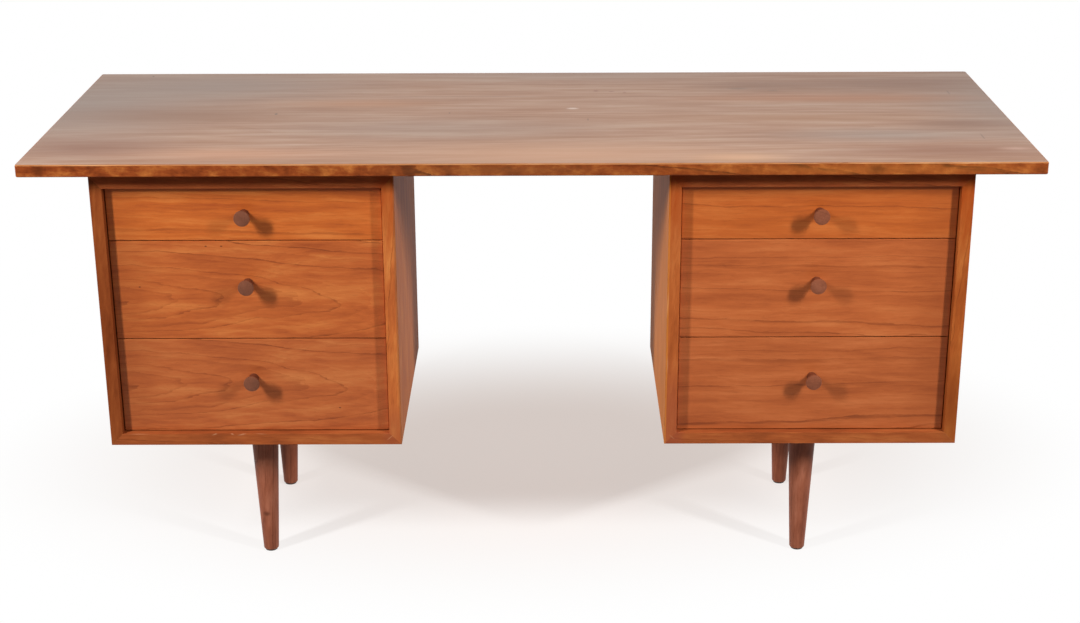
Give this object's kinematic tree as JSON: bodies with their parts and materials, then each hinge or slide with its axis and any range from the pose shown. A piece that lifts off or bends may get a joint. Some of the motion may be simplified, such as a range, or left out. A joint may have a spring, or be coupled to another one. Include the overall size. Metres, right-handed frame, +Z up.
{
  "type": "kneehole desk",
  "caption": "Long walnut kneehole desk: slab top floating on mitred drawer cases with inset dovetailed drawers, turned knobs and tapered turned legs.",
  "frame": {"origin": "on the floor, under the middle of the slab", "axes": "+Z up, +X to the sitter's right along the desk, the sitter's side faces -Y"},
  "size_m": [1.676, 0.648, 0.762],
  "materials": {
    "walnut_top": "satin lacquer",
    "walnut_case": "satin lacquer",
    "walnut_front": "satin lacquer",
    "walnut_leg": "satin lacquer",
    "walnut_knob": "satin lacquer",
    "maple": "sanded and waxed",
    "birch_plywood": "sanded",
    "zinc_steel": "zinc plated",
    "glide_plastic": "matt"
  },
  "bodies": {
    "desk": {"desk_top": "walnut_top", "left_case_outer_side": "walnut_case", "left_case_inner_side": "walnut_case", "left_case_top": "walnut_case", "left_case_bottom": "walnut_case", "left_case_back": "walnut_case", "left_front_leg": "walnut_leg", "left_back_leg": "walnut_leg", "right_case_outer_side": "walnut_case", "right_case_inner_side": "walnut_case", "right_case_top": "walnut_case", "right_case_bottom": "walnut_case", "right_case_back": "walnut_case", "right_front_leg": "walnut_leg", "right_back_leg": "walnut_leg", "top_spacers": "walnut_case", "case_splines": "birch_plywood", "drawer_runners": "maple", "foot_glides": "glide_plastic", "leg_plates": "zinc_steel", "leg_bolts": "zinc_steel", "plate_screws": "zinc_steel", "light_screws": "zinc_steel", "top_screws": "zinc_steel"},
    "left_top_drawer": {"left_top_drawer_front": "walnut_front", "left_top_drawer_left_side": "maple", "left_top_drawer_right_side": "maple", "left_top_drawer_back": "maple", "left_top_drawer_bottom": "birch_plywood", "left_top_drawer_knob": "walnut_knob"},
    "left_middle_drawer": {"left_middle_drawer_front": "walnut_front", "left_middle_drawer_left_side": "maple", "left_middle_drawer_right_side": "maple", "left_middle_drawer_back": "maple", "left_middle_drawer_bottom": "birch_plywood", "left_middle_drawer_knob": "walnut_knob"},
    "left_bottom_drawer": {"left_bottom_drawer_front": "walnut_front", "left_bottom_drawer_left_side": "maple", "left_bottom_drawer_right_side": "maple", "left_bottom_drawer_back": "maple", "left_bottom_drawer_bottom": "birch_plywood", "left_bottom_drawer_knob": "walnut_knob"},
    "right_top_drawer": {"right_top_drawer_front": "walnut_front", "right_top_drawer_left_side": "maple", "right_top_drawer_right_side": "maple", "right_top_drawer_back": "maple", "right_top_drawer_bottom": "birch_plywood", "right_top_drawer_knob": "walnut_knob"},
    "right_middle_drawer": {"right_middle_drawer_front": "walnut_front", "right_middle_drawer_left_side": "maple", "right_middle_drawer_right_side": "maple", "right_middle_drawer_back": "maple", "right_middle_drawer_bottom": "birch_plywood", "right_middle_drawer_knob": "walnut_knob"},
    "right_bottom_drawer": {"right_bottom_drawer_front": "walnut_front", "right_bottom_drawer_left_side": "maple", "right_bottom_drawer_right_side": "maple", "right_bottom_drawer_back": "maple", "right_bottom_drawer_bottom": "birch_plywood", "right_bottom_drawer_knob": "walnut_knob"}
  },
  "joints": [
    {"name": "left_top_drawer_slide", "type": "slide", "parent": "desk", "child": "left_top_drawer", "axis": [0, -1, 0], "range_m": [0, 0.32]},
    {"name": "left_middle_drawer_slide", "type": "slide", "parent": "desk", "child": "left_middle_drawer", "axis": [0, -1, 0], "range_m": [0, 0.32]},
    {"name": "left_bottom_drawer_slide", "type": "slide", "parent": "desk", "child": "left_bottom_drawer", "axis": [0, -1, 0], "range_m": [0, 0.32]},
    {"name": "right_top_drawer_slide", "type": "slide", "parent": "desk", "child": "right_top_drawer", "axis": [0, -1, 0], "range_m": [0, 0.32]},
    {"name": "right_middle_drawer_slide", "type": "slide", "parent": "desk", "child": "right_middle_drawer", "axis": [0, -1, 0], "range_m": [0, 0.32]},
    {"name": "right_bottom_drawer_slide", "type": "slide", "parent": "desk", "child": "right_bottom_drawer", "axis": [0, -1, 0], "range_m": [0, 0.32]}
  ]
}
